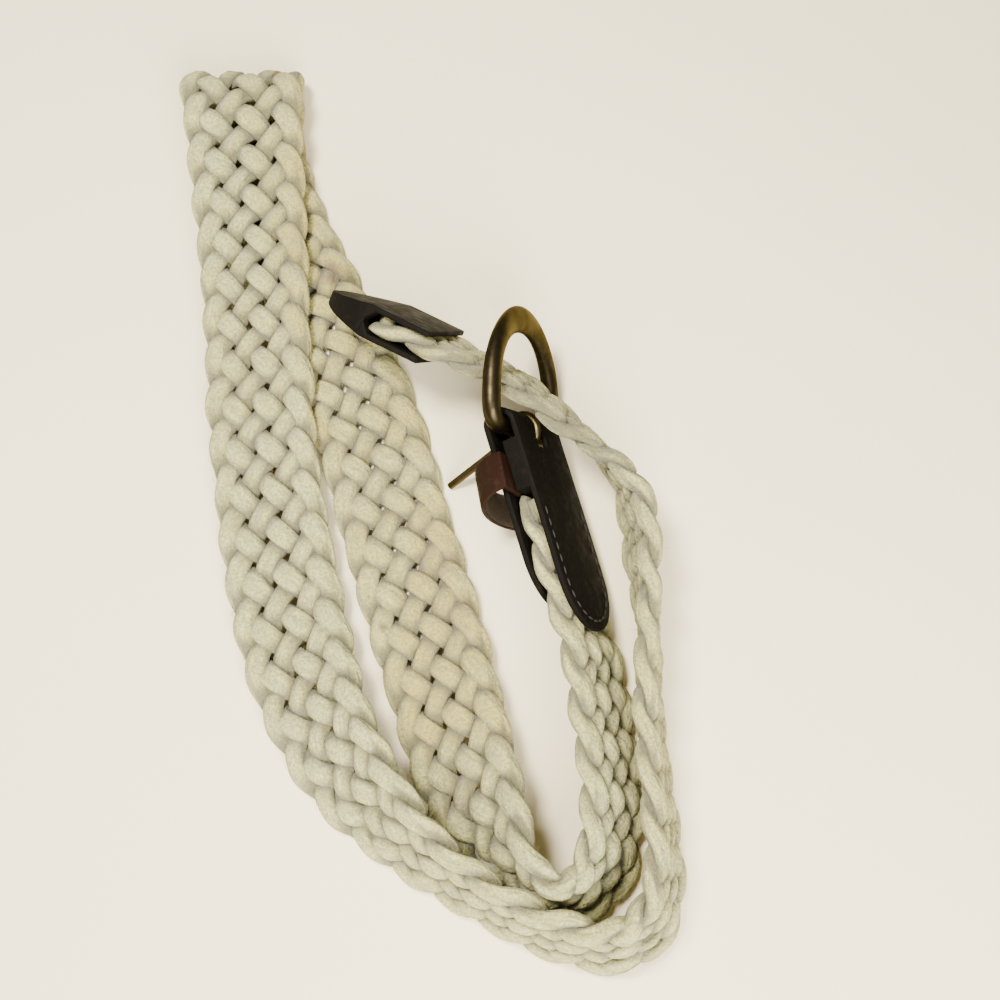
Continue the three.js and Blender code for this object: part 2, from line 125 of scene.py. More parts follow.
# The strap's route in millimetres, a row for each section: its middle, and the direction of its
# width as a heading in plan from +X and a tilt above the level, in degrees
LYING_ROUTE = (     # x, y, z, heading, tilt, widen
    (4.8, 26.6, 24.5, 230, 64, 0),
    (18.2, 16.6, 21.2, 230, 67, 0),
    (27.4, 9.6, 18.0, 225, 74, 0),
    (34.4, 1.4, 16.6, 215, 84, 0),
    (37.9, -10.0, 16.2, 195, 94, 0),
    (39.1, -24.0, 16.2, 180, 91, 0),
    (40.0, -40.0, 16.1, 180, 83, 0),
    (39.4, -60.0, 16.0, 180, 79, 0),
    (40.8, -82.0, 15.8, 180, 76, 0),
    (42.0, -99.0, 15.7, 174, 73, 0),
    (40.6, -112.0, 15.2, 145, 67, 0),
    (33.0, -120.2, 15.1, 115, 66, 0),
    (21.4, -120.4, 15.5, 88, 71, 0),
    (8.6, -116.2, 15.6, 68, 72, 0),
    (-5.0, -109.0, 15.5, 63, 71, 0),
    (-18.0, -100.2, 15.0, 56, 65, 0),
    (-30.2, -89.2, 13.5, 46, 53, 0),
    (-40.6, -77.0, 11.3, 34, 39, 0),
    (-49.6, -61.5, 9.2, 24, 28, 0),
    (-56.2, -44.0, 6.4, 18, 14, 0),
    (-62.6, -18.0, 5.6, 14, 10, 0),
    (-68.4, 14.0, 6.5, 8, 10, 0),
    (-71.8, 50.0, 8.0, 3, 8, 0),
    (-75.2, 84.0, 9.9, 3, 2, 0.6),
    (-78.2, 112.0, 12.6, 2, 0, 1.8),
    (-79.9, 127.5, 13.4, 2, 0, 2.6),
    (-80.5, 134.6, 8.3, 2, 0, 2.6),
    (-80.3, 127.5, 2.9, 2, 0, 2),
    (-78.5, 114.0, 2.75, 10, 0, 0.6),
    (-71.5, 93.0, 2.75, 20, 0, 0),
    (-60.6, 68.0, 2.75, 25, 0, 0),
    (-48.4, 44.0, 2.75, 25, 0, 0),
    (-37.6, 18.0, 2.75, 21, 0, 0),
    (-28.8, -12.0, 2.75, 16, 0, 0),
    (-20.7, -38.0, 3.9, 16, 5, -0.5),
    (-14.2, -60.0, 6.4, 18, 16, -0.6),
    (-8.8, -77.6, 9.2, 22, 29, -0.3),
    (-3.2, -92.4, 12.4, 32, 45, 0),
    (3.2, -102.4, 14.7, 46, 63, 0),
    (9.6, -108.8, 15.1, 72, 69, 0),
    (17.0, -110.7, 14.8, 108, 65, 0),
    (24.0, -106.8, 14.5, 146, 62, 0),
    (28.2, -98.5, 14.6, 168, 60, 0),
    (29.6, -84.0, 14.6, 180, 60, 0),
    (27.9, -68.0, 15.1, 182, 60, 0),
    (25.8, -54.0, 16.1, 193, 61, 0),
)
TIP_STATIONS = (19.5, 28, 37)       # rows of the route inside the tip, from its end
TAB_STATIONS = (62, 48, 31, 17)     # rows inside the tab, from the bar
KEEPER_MIDDLE = 16.8        # from the bar
KEEPER_SLANT = 14           # degrees
KEEPER_HALF_WIDTH = 5.25


def heading(degrees, tilt):
    """Unit vector from a heading in plan and a tilt above the level."""
    plan, up = math.radians(degrees), math.radians(tilt)
    return Vector((math.cos(up) * math.cos(plan), math.cos(up) * math.sin(plan), math.sin(up)))


class Place:
    """A leather end's own axes: along (u), across (v) and out of the face (n)."""

    def __init__(self, origin, toward, across_heading, across_tilt):
        self.origin = Vector(origin)
        self.u = (Vector(toward) - self.origin).normalized()
        across = heading(across_heading, across_tilt)
        self.v = (across - self.u * across.dot(self.u)).normalized()
        self.n = self.u.cross(self.v)
        self.turn = (across_heading, across_tilt)

    def at(self, along, side=0.0, out=0.0):
        """A point of the row frame in metres from distances in millimetres."""
        point = self.origin + self.u * along + self.v * side + self.n * out
        return (point - LAYOUT_MIDDLE) * MM

    def row(self, along):
        """A row of the strap's route at this distance from the origin."""
        point = self.origin + self.u * along
        return (*point, *self.turn, 0)

    def matrix(self, along, side, out, direction):
        """Places a small shape with its length along direction and its top out of the face."""
        x = direction.normalized()
        z = self.n * (1 if out > 0 else -1)
        y = z.cross(x)
        turned = Matrix((x, y, z)).transposed().to_4x4()
        return Matrix.Translation(self.at(along, side, out)) @ turned


TIP = Place(origin=(-47.2, 54.9, 21.4), toward=(-16.5, 38.3, 23.0),
            across_heading=241, across_tilt=62)
TAB = Place(origin=(6.2, 14.0, 21.1), toward=(23.2, -43.5, 17.0),
            across_heading=209, across_tilt=62.5)


def route_rows():
    """All rows of the route, from the tip to the tab."""
    rows = [TIP.row(along) for along in TIP_STATIONS]
    rows += LYING_ROUTE
    rows += [TAB.row(along) for along in TAB_STATIONS]
    return np.array(rows, float)


def centripetal(rows, steps):
    """Catmull-Rom through the rows, all columns on the same knots."""
    padded = np.vstack([2 * rows[0] - rows[1], rows, 2 * rows[-1] - rows[-2]])
    out = []
    for p0, p1, p2, p3 in zip(padded, padded[1:], padded[2:], padded[3:]):
        k1 = math.sqrt(np.linalg.norm((p1 - p0)[:3]))
        k2 = k1 + math.sqrt(np.linalg.norm((p2 - p1)[:3]))
        k3 = k2 + math.sqrt(np.linalg.norm((p3 - p2)[:3]))
        t = np.linspace(k1, k2, steps, endpoint=False)[:, None]
        a = ((k1 - t) * p0 + t * p1) / k1
        b = ((k2 - t) * p1 + (t - k1) * p2) / (k2 - k1)
        c = ((k3 - t) * p2 + (t - k2) * p3) / (k3 - k2)
        ab = ((k2 - t) * a + t * b) / k2
        bc = ((k3 - t) * b + (t - k1) * c) / (k3 - k1)
        out.append(((k2 - t) * ab + (t - k1) * bc) / (k2 - k1))
    out.append(rows[-1:])
    return np.vstack(out)


def unit(vectors):
    """Each row made one long."""
    return vectors / np.linalg.norm(vectors, axis=1)[:, None]


def strap_frames():
    """Places along the strap at even steps, and there its middle, direction, width direction,
    normal and half width."""
    dense = centripetal(route_rows(), ROUTE_STEPS)
    across = np.array([heading(a, b) for a, b in dense[:, 3:5]])
    middle = dense[:, :3].copy()
    along = unit(np.gradient(middle, axis=0))
    across = unit(across - along * (across * along).sum(1)[:, None])
    half = STRAP_HALF_WIDTH + dense[:, 5]
    resting = STRAP_HALF_THICKNESS + (half - STRAP_HALF_THICKNESS) * np.abs(across[:, 2])
    middle[:, 2] = np.maximum(middle[:, 2], resting)
    arc = np.concatenate([[0], np.cumsum(np.linalg.norm(np.diff(middle, axis=0), axis=1))])
    places = np.linspace(0, arc[-1], int(arc[-1] / STRAP_STEP) + 1)

    def even(values):
        return np.stack([np.interp(places, arc, column) for column in values.T], 1)

    middle = even(middle)
    along = unit(np.gradient(middle, axis=0))
    across = even(across)
    across = unit(across - along * (across * along).sum(1)[:, None])
    return places, middle, along, across, np.cross(along, across), np.interp(places, arc, half)


def wobble(places, seed, wave):
    """A smooth irregular wave from -1 to 1."""
    rng = np.random.default_rng(seed)
    total = np.zeros_like(places)
    for share in WAVE_SHARES:
        total += share * np.sin(2 * math.pi * places / (wave * share) + rng.uniform(0, 6.28))
    return total / sum(WAVE_SHARES)


def uneven(places, index, kind):
    """One kind of unevenness along the cord of this index."""
    amount, seed, wave = kind
    return amount * wobble(places, seed + index, wave)


def deselect():
    """Leaves nothing selected, in object mode."""
    if bpy.context.object and bpy.context.object.mode != "OBJECT":
        bpy.ops.object.mode_set(mode="OBJECT")
    bpy.ops.object.select_all(action="DESELECT")


def choose(*objects):
    """Selects these objects alone; the last one is active."""
    deselect()
    for obj in objects:
        obj.select_set(True)
        bpy.context.view_layer.objects.active = obj


def settle(obj, name, material):
    """Names a finished piece and gives it its material and slot."""
    choose(obj)
    bpy.ops.object.transform_apply(location=True, rotation=True, scale=True)
    obj.name = name
    obj.data.name = name
    obj.data.materials.clear()
    obj.data.materials.append(material)


def node_copy(node):
    """A merged copy of a CAD node at the origin, as an object of its own."""
    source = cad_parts[node]
    obj = source.copy()
    obj.data = source.data.copy()
    obj.parent = None
    obj.matrix_world = Matrix.Identity(4)
    bpy.context.scene.collection.objects.link(obj)
    obj.hide_render = False
    obj.hide_viewport = False
    choose(obj)
    bpy.ops.object.mode_set(mode="EDIT")
    bpy.ops.mesh.select_all(action="SELECT")
    bpy.ops.mesh.remove_doubles(threshold=NODE_MERGE)
    bpy.ops.object.mode_set(mode="OBJECT")
    return obj


class Value:
    """A shader socket that can be used in expressions."""

    def __init__(self, graph, socket):
        self.graph = graph
        self.socket = socket

    def math(self, operation, *values):
        """A Math node on these values."""
        return self.graph.node("ShaderNodeMath", {"operation": operation}, dict(enumerate(values)))

    def __add__(self, other):
        return self.math("ADD", self, other)

    def __radd__(self, other):
        return self.math("ADD", other, self)

    def __sub__(self, other):
        return self.math("SUBTRACT", self, other)

    def __rsub__(self, other):
        return self.math("SUBTRACT", other, self)

    def __mul__(self, other):
        return self.math("MULTIPLY", self, other)

    def __rmul__(self, other):
        return self.math("MULTIPLY", other, self)


class Graph:
    """A material's nodes."""

    def __init__(self, name):
        self.material = bpy.data.materials.new(name)
        self.material.use_nodes = True
        self.tree = self.material.node_tree
        self.shader = self.tree.nodes["Principled BSDF"]

    def put(self, socket, value):
        """Links a Value or sets a constant."""
        if isinstance(value, Value):
            self.tree.links.new(value.socket, socket)
        elif socket.type == "RGBA":
            socket.default_value = (*tuple(value)[:3], 1)
        else:
            socket.default_value = value

    def node(self, kind, settings=None, values=None, output=0):
        """Adds a node: its settings first, then the values or links of its sockets."""
        made = self.tree.nodes.new(kind)
        for name, value in (settings or {}).items():
            setattr(made, name, value)
        for name, value in (values or {}).items():
            self.put(made.inputs[name], value)
        return Value(self, made.outputs[output])

    def coordinate(self, name):
        """A Texture Coordinate output, Object or UV."""
        return self.node("ShaderNodeTexCoord", output=name)

    def split(self, vector):
        """The three numbers of a vector."""
        made = self.node("ShaderNodeSeparateXYZ", values={0: vector}).socket.node
        return [Value(self, socket) for socket in made.outputs]

    def join(self, x, y, z):
        """A vector of three numbers."""
        return self.node("ShaderNodeCombineXYZ", values={0: x, 1: y, 2: z})

    def noise(self, vector, scale, detail=2.0, roughness=0.5):
        """Smooth noise from 0 to 1."""
        return self.node("ShaderNodeTexNoise", values={
            "Vector": vector, "Scale": scale, "Detail": detail, "Roughness": roughness})

    def band(self, value, low, high, start=0.0, end=1.0):
        """Maps low..high smoothly to start..end."""
        return self.node("ShaderNodeMapRange", {"interpolation_type": "SMOOTHSTEP"}, {
            0: value, 1: low, 2: high, 3: start, 4: end})

    def mix(self, factor, first, second):
        """Mixes two colours."""
        values = {0: factor, 6: first, 7: second}
        return self.node("ShaderNodeMix", {"data_type": "RGBA"}, values, output=2)

    def spot(self, vector, centre, radius, soft):
        """1 within radius of a point, falling to 0 over soft, all in metres."""
        away = self.node("ShaderNodeVectorMath", {"operation": "DISTANCE"}, {
            0: vector, 1: tuple(centre)}, output="Value")
        return self.band(away, radius, radius + soft, 1.0, 0.0)

    def bump(self, height, distance, strength=1.0):
        """A Bump node's normal."""
        values = {"Height": height, "Distance": distance, "Strength": strength}
        return self.node("ShaderNodeBump", values=values)

    def finish(self, **values):
        """Sets the shader's own sockets; an underscore stands for a space."""
        for name, value in values.items():
            self.put(self.shader.inputs[name.replace("_", " ")], value)
        return self.material


def layout_point(x, y, z):
    """A place of the layout, in millimetres, as a point of the row frame."""
    return (Vector((x, y, z)) - LAYOUT_MIDDLE) * MM


# Marks on the cotton, in millimetres of the layout; strength is a share
STAINS = (      # x, y, z, radius, softness, strength
    (-51.0, 69.5, 5.5, 1.8, 3.4, 0.95),
    (-32.5, -38.2, 5.5, 0.6, 1.4, 0.95),
    (-16.9, -19.1, 5.5, 3.0, 9.0, 0.30),
    (-10.6, -36.2, 5.5, 3.0, 8.0, 0.32),
    (-11.8, -82.4, 12.0, 3.0, 8.0, 0.45),
)


# The run of the strap that lies flat has yellowed more than the rest. In plan it is a slanting
# stretch, in metres of the frame, whose sides fade in from the first place of a pair to the second
LOWER_SLANT = 0.267
LOWER_LEFT = (-0.028, -0.022)
LOWER_RIGHT = (0.018, 0.012)
LOWER_NEAR = (-0.088, -0.070)


def cotton_material(settings):
    """Undyed cotton: plies, fine speckle, yellowed places, marks, and shade painted into the
    hollows.
    """
    graph = Graph("cotton")
    place = graph.coordinate("Object")
    u, v, _ = graph.split(graph.coordinate("UV"))
    relief = graph.node("ShaderNodeAttribute", {"attribute_name": "relief"}, output="Fac")
    lane = graph.node("ShaderNodeAttribute", {"attribute_name": "lane"}, output="Fac")
    streaks = graph.noise(graph.join(u * 15 + v * 34, v * 190, lane), 1.0, 2.0)
    speckle = graph.noise(place, 1150.0, 3.0, 0.75)
    lumps = graph.noise(place, 330.0, 2.0)
    drift = graph.noise(place, 16.0, 2.0)
    x, y, _ = graph.split(place)
    beside = x + y * LOWER_SLANT
    lower = graph.band(beside, *LOWER_LEFT) * graph.band(beside, *LOWER_RIGHT)
    patches = graph.band(graph.noise(place, 55.0, 3.0), 0.42, 0.62, 0.35, 1.0)
    lower = lower * graph.band(y, *LOWER_NEAR) * patches
    tone = graph.mix(graph.band(drift, 0.42, 0.70, 0.0, 0.30) + lower, settings.cotton,
                     settings.yellowed)
    tone = graph.mix(graph.band(speckle, 0.36, 0.62, 0.85, 0.0), tone, settings.shade)
    tone = graph.mix(graph.band(streaks, 0.35, 0.65, 0.0, 0.40), tone, settings.shade)
    for sx, sy, sz, radius, soft, strength in STAINS:
        spot = graph.spot(place, layout_point(sx, sy, sz), radius * MM, soft * MM)
        broken = graph.band(lumps, 0.25, 0.70, 0.45, 1.0)
        tone = graph.mix(spot * broken * strength, tone, settings.stain)
    # painted shade: cords are painted darker the deeper they lie in the braid, standing in for the
    # shade in its holes and under crossing cords
    hollow_shade = graph.band(relief, 0.50, 1.17, 1.0, 0.0)
    tone = graph.mix(hollow_shade * 0.84, tone, settings.hollow_shade)
    ply = graph.node("ShaderNodeMath", {"operation": "SINE"}, {0: u * 25.1 + v * 640.0})
    height = streaks * 0.6 + speckle * 0.8 + lumps * 0.6 + ply * 0.14
    normal = graph.bump(height, 0.0019, 1.0)
    return graph.finish(Base_Color=tone, Roughness=0.93, Normal=normal, Specular_IOR_Level=0.2,
                        Sheen_Weight=0.25, Sheen_Roughness=0.6)


LINT = (0.20, 0.17, 0.13)


def leather_material(name, colour, worn, wear, roughness):
    """Leather with fine grain, rubbed creases and a little lint."""
    graph = Graph(name)
    place = graph.coordinate("Object")
    grain = graph.node("ShaderNodeTexVoronoi", {"feature": "SMOOTH_F1"}, {
        "Vector": place, "Scale": 1100.0})
    creases = graph.noise(place, 260.0, 4.0, 0.6)
    lint = graph.noise(place, 2300.0, 1.0)
    tone = graph.mix(graph.band(creases, 0.48, 0.78, 0.0, wear), colour, worn)
    tone = graph.mix(graph.band(lint, 0.79, 0.85, 0.0, 0.22), tone, LINT)
    rough = graph.band(creases, 0.3, 0.7, roughness - 0.10, roughness + 0.12)
    normal = graph.bump(grain * 0.5 + creases * 0.8, 0.00022, 0.8)
    return graph.finish(Base_Color=tone, Roughness=rough, Normal=normal, Specular_IOR_Level=0.05)


def brass_material(name, high, low):
    """Brass that has dulled in clouds, from its high colour to its low one."""
    graph = Graph(name)
    place = graph.coordinate("Object")
    cloud = graph.noise(place, 120.0, 4.0, 0.6)
    fine = graph.noise(place, 900.0, 2.0)
    dull = graph.band(cloud * 0.75 + fine * 0.25, 0.42, 0.60)
    tone = graph.mix(dull * 0.45 + 0.35, high, low)
    rough = graph.band(cloud, 0.35, 0.7, 0.36, 0.50)
    normal = graph.bump(fine * 0.4 + cloud, 0.00010, 0.35)
    return graph.finish(Base_Color=tone, Metallic=1.0, Roughness=rough, Normal=normal,
                        Specular_Tint=(0.72, 0.66, 0.50))


def colour(name, default, description):
    """A colour that the user can change."""
    return bpy.props.FloatVectorProperty(
        name=name, description=description, subtype="COLOR", size=3, min=0, max=1, default=default)


def length(name, default, description):
    """A length, in metres, that the user can change."""
    return bpy.props.FloatProperty(
        name=name, description=description, default=default, min=0.0, unit="LENGTH", precision=5)


def power(name, default, description):
    """A light's power, in watts, that the user can change."""
    return bpy.props.FloatProperty(
        name=name, description=description, default=default, min=0.0, unit="POWER")


class WovenBeltStrap(bpy.types.PropertyGroup):
    """The braid's sizes and the cotton's colours"""
    period: length("Braid period", 0.091, "Length in which a cord goes to both edges and back")
    cord_half_width: length("Cord half width", 0.00316, "Half of a cord's width on a face")
    cord_half_depth: length("Cord half depth", 0.00185, "Half of a cord's thickness on a face")
    lift: length("Crossing lift", 0.00138, "How far a cord rises and dips at its crossings")
    cotton: colour("Cotton", (0.68, 0.640, 0.245), "Colour of the cord's high places")
    shade: colour("Cotton shade", (0.31, 0.283, 0.105), "Colour between the plies")
    # painted shade: the colour put into the holes and crevices between cords in place of their
    # shade
    hollow_shade: colour("Hollow shade", (0.115, 0.100, 0.040), "Colour in the holes between cords")
    yellowed: colour("Yellowed cotton", (0.62, 0.500, 0.100), "Colour where the cotton has aged")
    stain: colour("Stains", (0.20, 0.125, 0.045), "Colour of the stains")
    fibres: bpy.props.IntProperty(
        name="Stray fibres", description="Number of loose fibres", default=3600, min=0, max=4000)


class WovenBeltLeather(bpy.types.PropertyGroup):
    """The leather's edges and stitches, and their colours"""
    edge: length("Edge radius", 0.0004, "Rounding of the leather's cut edges")
    pitch: length("Stitch pitch", 0.0033, "Distance from stitch to stitch")
    inset: length("Stitch inset", 0.0026, "Distance of the stitches from the edge")
    black: colour("Black leather", (0.0042, 0.0034, 0.0024), "Colour of the tab and the tip")
    black_worn: colour("Worn black", (0.014, 0.0095, 0.0055), "Colour where the black is rubbed")
    brown: colour("Brown leather", (0.015, 0.0060, 0.0034), "Colour of the keeper's outside")
    flesh: colour("Keeper inside", (0.11, 0.082, 0.052), "Colour of the keeper's inside")
    thread: colour("Thread", (0.013, 0.011, 0.007), "Colour of the stitches")


class WovenBeltMetal(bpy.types.PropertyGroup):
    """The brass's colours"""
    brass: colour("Brass", (0.060, 0.047, 0.024), "Colour of the polished high places")
    patina: colour("Patina", (0.016, 0.0125, 0.0065), "Colour of the dulled brass")
    rubbed: colour("Rubbed brass", (0.20, 0.148, 0.060), "Colour of the brighter prong")


class WovenBeltStage(bpy.types.PropertyGroup):
    """The floor's colour and the lights"""
    floor: colour("Floor", (0.90, 0.79, 0.53), "Colour of the surface that the belt lies on")
    key: power("Key light", 9.5, "Power of the soft key light")
    fill: power("Fill light", 9.5, "Power of the fill light")


def grid_to_roll(sides, rings):
    """A grid to be rolled up into a tube, with the angle and the ring of each of its points."""
    deselect()
    bpy.ops.mesh.primitive_grid_add(x_subdivisions=sides, y_subdivisions=rings - 1, size=1)
    obj = bpy.context.object
    flat = np.zeros(len(obj.data.vertices) * 3)
    obj.data.vertices.foreach_get("co", flat)
    flat = flat.reshape(-1, 3) + 0.5
    side = np.rint(flat[:, 0] * sides) % sides
    ring = np.rint(flat[:, 1] * (rings - 1)).astype(int)
    return obj, 2 * math.pi * side / sides, ring


def grid_tube(points, widths, depths, normals, plies):
    """A cord with an oval section, rolled up from a grid so that it has a UV map. It is not
    closed yet."""
    obj, angle, ring = grid_to_roll(CORD_SIDES, len(points))
    along = unit(np.gradient(points, axis=0))
    across = unit(np.cross(normals, along))
    out = np.cross(along, across)
    swell = 1 + PLY_SWELL * np.cos(PLIES * angle + plies[ring])
    x = np.cos(angle) * widths[ring] * swell
    y = np.sin(angle) * depths[ring] * swell
    placed = points[ring] + across[ring] * x[:, None] + out[ring] * y[:, None]
    obj.data.vertices.foreach_set("co", placed.ravel())
    return obj, ring, placed


def close_tube(obj):
    """Merges the seam, fills the ends and turns the faces outwards."""
    choose(obj)
    bpy.ops.object.mode_set(mode="EDIT")
    bpy.ops.mesh.select_all(action="SELECT")
    bpy.ops.mesh.remove_doubles(threshold=TUBE_MERGE)
    bpy.ops.mesh.fill_holes(sides=0)
    bpy.ops.mesh.select_all(action="SELECT")
    bpy.ops.mesh.normals_make_consistent(inside=False)
    bpy.ops.object.mode_set(mode="OBJECT")
    bpy.ops.object.shade_smooth()


def cord_path(index, settings, frames):
    """The middle line, half width, half depth and normal of one cord of the braid."""
    places, middle, _, across, normal, half = frames
    turn = places / (settings.period / MM) + index / CORDS
    m = (turn * CROSSINGS) % CROSSINGS
    phase = 2 * math.pi * m / CROSSINGS
    triangle = 1 - 4 * np.abs(m / CROSSINGS - 0.5)
    swing = triangle * (4 - np.abs(triangle) ** 3) / 3
    near_edge = np.minimum(np.minimum(m, np.abs(m - CROSSINGS / 2)), CROSSINGS - m)
    round_share = 0.5 + 0.5 * np.cos(np.pi * np.clip(near_edge / EDGE_TURN, 0, 1))
    rising = -np.cos(np.pi * m)
    falling = np.cos(np.pi * m)
    over_far = -np.cos(np.pi * (m - 6) / 2)
    over_near = -np.cos(np.pi * ((m + 1) % CROSSINGS) / 2)
    height = np.where(m < 1, over_near, np.where(m < 6, rising, np.where(
        m < 8, over_far, np.where(m < 13, falling, over_near))))
    from_leather = np.minimum(places - PRESSED_IN_TIP, places[-1] - PRESSED_IN_TAB - places)
    free = np.clip(from_leather / PRESSED_FADE, 0, 1)
    pressed = BETWEEN_LEAVES + (1 - BETWEEN_LEAVES) * free
    clear = np.clip((from_bar(middle) - BUCKLE_REACH) / BUCKLE_FADE, 0, 1)
    pressed = np.minimum(pressed, IN_BUCKLE + (1 - IN_BUCKLE) * clear)
    # on either face, the cords that cross it one way lie higher and wider than the others
    toward = np.sin(phase)
    wide_share = 1 - WIDER_ONE_WAY * toward * height
    height = height * (3 - height ** 2) / 2 - HIGHER_ONE_WAY * toward
    lift = settings.lift / MM * pressed * (1 + uneven(places, index, UNEVEN_LIFT))
    wide = settings.cord_half_width / MM * (1 + uneven(places, index, UNEVEN_WIDTH))
    deep = settings.cord_half_depth / MM * pressed
    wide = wide * wide_share * (1 + WIDER_BY_EDGE * np.exp(-4 * (near_edge - 1) ** 2))
    deep = deep * (1 + THICKER_AT_EDGE * round_share)
    reach = half - EDGE_INSET + uneven(places, index, UNEVEN_REACH) - BUCKLE_SQUEEZE * (1 - clear)
    side = swing * reach
    offset = -normal * (height * lift)[:, None] + across * side[:, None]
    return middle + offset, wide, deep, normal


def from_bar(points):
    """Distance of points of the layout from the buckle's bar, in millimetres."""
    return np.linalg.norm(points - np.array(TAB.origin), axis=1)


def clear_of_keeper(points):
    """How far points of the layout lie beyond the keeper's side, in millimetres."""
    away = points - np.array(TAB.origin)
    slant = math.radians(KEEPER_SLANT)
    along = (away @ np.array(TAB.u) - KEEPER_MIDDLE) * math.cos(slant)
    return along + away @ np.array(TAB.v) * math.sin(slant) - KEEPER_HALF_WIDTH


def row_frame(points):
    """Layout millimetres to row-frame metres."""
    return (points - np.array(LAYOUT_MIDDLE)) * MM


class WOVENBELT_OT_strap(bpy.types.Operator):
    """Braids seven cotton cords along the strap's route"""
    bl_idname = "woven_belt.strap"
    bl_label = "Braided strap"

    def execute(self, context):
        settings = context.scene.woven_belt_strap
        frames = strap_frames()
        places, middle, _, across, normal, half = frames
        material = cotton_material(settings)
        for index in range(CORDS):
            path = cord_path(index, settings, frames)
            far = places < places[-1] - TAB_STATIONS[0]
            count = np.count_nonzero(far | (clear_of_keeper(path[0]) > CORD_END_GAP))
            points, wide, deep, normals = (values[:count] for values in path)
            plies = 2 * math.pi * places / PLY_PITCH + index * PLY_START
            obj, ring, placed = grid_tube(points, wide, deep, normals, plies)
            away = placed - middle[ring]
            depth = np.abs((away * normal[ring]).sum(1)) / STRAP_HALF_THICKNESS
            beside = np.abs((away * across[ring]).sum(1)) - half[ring] + EDGE_CORD
            # relief sets how much shade is painted on each point: deep points get the most, edge
            # cords count as high and stay unshaded
            relief = np.maximum(depth, EDGE_RELIEF * np.clip(beside / EDGE_CORD, 0, 1))
            lane = np.full(len(ring), index * LANE_SPACING)
            for name, values in (("relief", relief), ("lane", lane)):
                layer = obj.data.attributes.new(name, "FLOAT", "POINT")
                layer.data.foreach_set("value", values.astype(np.float32))
            placed[:, 2] = np.maximum(placed[:, 2], CORD_FLOOR)
            obj.data.vertices.foreach_set("co", row_frame(placed).ravel())
            close_tube(obj)
            settle(obj, f"cotton_cord_{index + 1}", material)
            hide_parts("woven_strap")
            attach(obj, ROOT)
        return {"FINISHED"}


def soften(obj, radius):
    """Rounds the sharp edges of a merged CAD copy."""
    choose(obj)
    bpy.ops.object.mode_set(mode="EDIT")
    bpy.ops.mesh.select_all(action="SELECT")
    bpy.ops.mesh.dissolve_limited(angle_limit=math.radians(1))
    bpy.ops.object.mode_set(mode="OBJECT")
    bevel = obj.modifiers.new("edges", "BEVEL")
    bevel.width = radius
    bevel.segments = 3
    bevel.limit_method = "ANGLE"
    bevel.angle_limit = math.radians(40)
    # the shortest edges of a node would otherwise bring the rounding down to nothing
    bevel.use_clamp_overlap = False
    bpy.ops.object.modifier_apply(modifier=bevel.name)
    bpy.ops.object.shade_smooth_by_angle(angle=math.radians(38))


class WOVENBELT_OT_leather(bpy.types.Operator):
    """Dresses the tab, the tip and the keeper in leather"""
    bl_idname = "woven_belt.leather"
    bl_label = "Leather"

    def execute(self, context):
        settings = context.scene.woven_belt_leather
        black = leather_material("black_leather", settings.black, settings.black_worn, 0.45, 0.66)
        brown = leather_material("brown_leather", settings.brown, settings.flesh, 0.06, 0.60)
        flesh = leather_material("leather_inside", settings.flesh, settings.brown, 0.5, 0.75)
        pieces = (
            ("buckle_tab", "tab_leather", black, "black_leather"),
            ("strap_tip", "tip_leather", black, "black_leather"),
            ("keeper_loop", "keeper_leather", brown, "brown_leather"),
        )
        for node, name, material, slot in pieces:
            obj = node_copy(node)
            soften(obj, settings.edge)
            settle(obj, name, material)
            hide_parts(node)
            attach(obj, ROOT)
            if node == "keeper_loop":
                self.line(obj, flesh)
        return {"FINISHED"}

    @staticmethod
    def line(obj, flesh):
        """Gives the keeper's inner faces the colour of the leather's flesh side."""
        obj.data.materials.append(flesh)
        middle = TAB.at(*INSIDE_KEEPER)
        for face in obj.data.polygons:
            inwards = (middle - face.center).dot(face.normal) > 0
            if inwards and abs(face.normal.dot(TAB.u)) < 0.5:
                face.material_index = 1


def outline_path(long, inset):
    """Places (along, side) close together round a leaf, inset from its edge."""
    wide = LEAF_HALF_WIDTH - inset
    end = long - LEAF_NOSE
    straight = np.arange(STITCHES_FROM, end, 0.1)
    angles = np.linspace(math.pi / 2, -math.pi / 2, 400)
    curve = [(end + (LEAF_NOSE - inset) * math.cos(a), wide * math.sin(a)) for a in angles]
    return np.array([(s, wide) for s in straight] + curve + [(s, -wide) for s in straight[::-1]])


